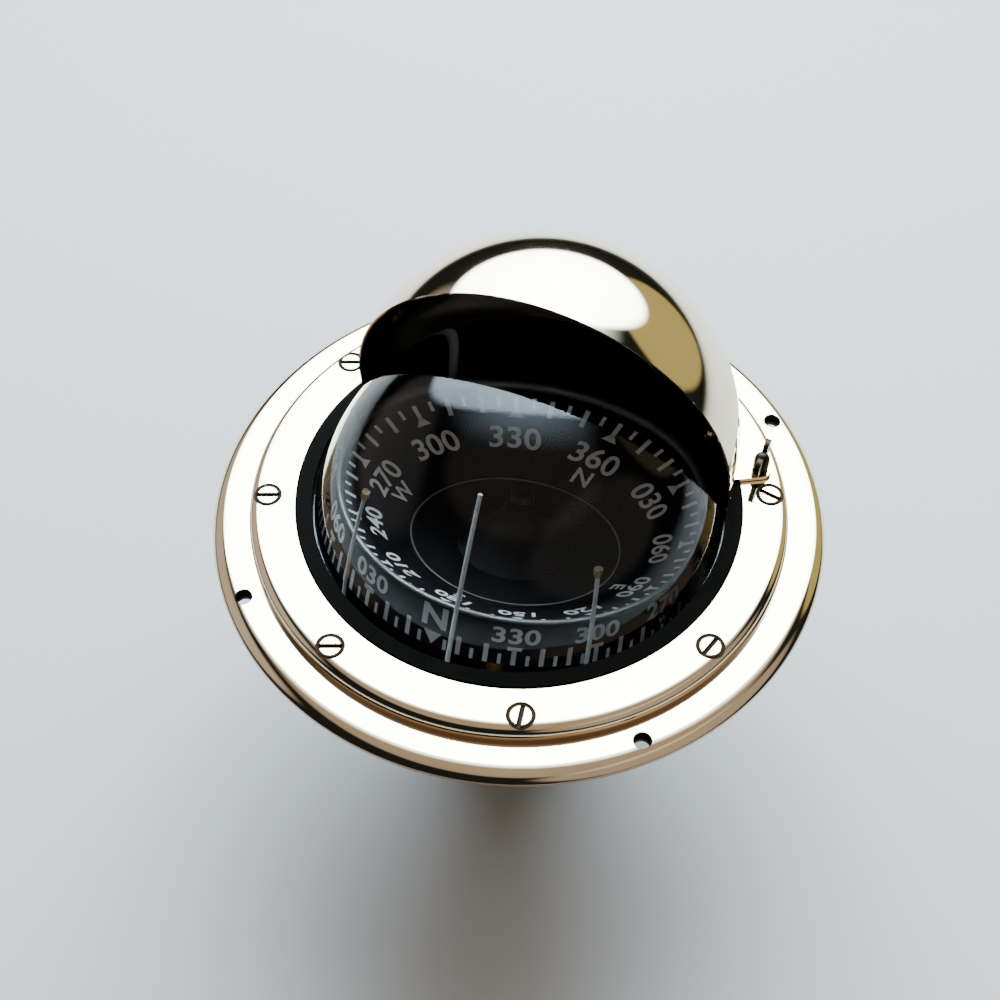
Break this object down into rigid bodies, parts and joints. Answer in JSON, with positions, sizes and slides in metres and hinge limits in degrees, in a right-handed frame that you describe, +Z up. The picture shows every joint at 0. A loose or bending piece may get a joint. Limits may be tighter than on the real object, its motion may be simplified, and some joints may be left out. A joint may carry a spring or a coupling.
{
  "type": "magnetic compass",
  "caption": "Flush-mounted marine steering compass in polished brass, with a clear dome, a swivelling sun hood and a gimballed, dished card.",
  "frame": {"origin": "centre of the deck face, the underside of the flange gasket, on the compass axis", "axes": "+Z up out of the deck along the compass axis, +Y towards the bow, where the hood stands, +X to starboard"},
  "size_m": [0.235, 0.235, 0.2248],
  "materials": {
    "polished_brass": "mirror polished",
    "rubber": "matt",
    "dome_clear": "clear acrylic",
    "black_paint": "satin",
    "black_plastic": "matt",
    "pale_plastic": "satin",
    "brass": "machined",
    "steel": "plain"
  },
  "bodies": {
    "case": {"flange_gasket": "rubber", "deck_flange": "polished_brass", "bezel_ring": "polished_brass", "bezel_screws": "polished_brass", "dome": "dome_clear", "dome_seal": "rubber", "bowl": "black_paint", "gimbal_bowl_bushes": "brass", "filler_plug": "polished_brass", "filler_washer": "rubber", "diaphragm": "rubber", "compensator_housing": "black_plastic", "housing_screws": "steel", "compensator_cover": "black_plastic", "cover_screws": "steel"},
    "sun_hood": {"hood": "polished_brass", "hood_foot": "polished_brass", "hood_turning_ring": "black_paint", "hood_foot_screws": "polished_brass"},
    "hood_lock": {"hood_lock_screw": "polished_brass", "hood_lock_pad": "pale_plastic"},
    "gimbal": {"gimbal_ring": "black_paint", "gimbal_outer_pins": "brass", "gimbal_inner_bushes": "brass"},
    "card_frame": {"lubber_frame": "black_paint", "frame_pivot_pins": "steel", "main_lubber_pin": "pale_plastic", "lubber_pins": "pale_plastic", "lubber_pin_caps": "brass", "pivot_post": "brass", "weight_spacer": "brass", "pendulum_weight": "brass", "weight_nut": "brass"},
    "card": {"card_dish": "black_plastic", "card_skirt": "black_plastic", "card_rim_bead": "steel", "card_float": "black_plastic", "card_cap": "brass", "jewel_cup": "dome_clear", "card_magnet_clips": "brass", "card_magnets": "steel"},
    "ns_adjuster": {"ns_adjuster_spindle": "brass", "ns_adjuster_magnet": "steel"},
    "ns_follower": {"ns_follower_spindle": "brass", "ns_follower_magnet": "steel"},
    "ew_adjuster": {"ew_adjuster_spindle": "brass", "ew_adjuster_magnet": "steel"},
    "ew_follower": {"ew_follower_spindle": "brass", "ew_follower_magnet": "steel"}
  },
  "joints": [
    {"name": "hood_swivel", "type": "hinge", "parent": "case", "child": "sun_hood", "pos_m": [0, 0, 0.0115], "axis": [0, 0, 1], "continuous": true},
    {"name": "hood_lock_turn", "type": "hinge", "parent": "sun_hood", "child": "hood_lock", "pos_m": [0.08164, 0.04619, 0.0148], "axis": [0, 0, 1], "range_deg": [0, 360]},
    {"name": "gimbal_roll", "type": "hinge", "parent": "case", "child": "gimbal", "pos_m": [0, 0, -0.0037], "axis": [0, 1, 0], "range_deg": [-40, 40]},
    {"name": "gimbal_pitch", "type": "hinge", "parent": "gimbal", "child": "card_frame", "pos_m": [0, 0, -0.0037], "axis": [1, 0, 0], "range_deg": [-23, 57]},
    {"name": "card_spin", "type": "hinge", "parent": "card_frame", "child": "card", "pos_m": [0, 0, -0.0037], "axis": [0, 0.2924, 0.9563], "continuous": true},
    {"name": "ns_adjuster_turn", "type": "hinge", "parent": "case", "child": "ns_adjuster", "pos_m": [0.0056, 0, -0.0999], "axis": [0, 1, 0], "continuous": true},
    {"name": "ns_follower_turn", "type": "hinge", "parent": "case", "child": "ns_follower", "pos_m": [-0.0056, 0, -0.0999], "axis": [0, 1, 0], "continuous": true},
    {"name": "ew_adjuster_turn", "type": "hinge", "parent": "case", "child": "ew_adjuster", "pos_m": [0, 0.0056, -0.1111], "axis": [1, 0, 0], "continuous": true},
    {"name": "ew_follower_turn", "type": "hinge", "parent": "case", "child": "ew_follower", "pos_m": [0, -0.0056, -0.1111], "axis": [1, 0, 0], "continuous": true}
  ],
  "couplings": [
    {"joint": "ns_follower_turn", "follows": "ns_adjuster_turn", "ratio": -1},
    {"joint": "ew_follower_turn", "follows": "ew_adjuster_turn", "ratio": -1}
  ]
}
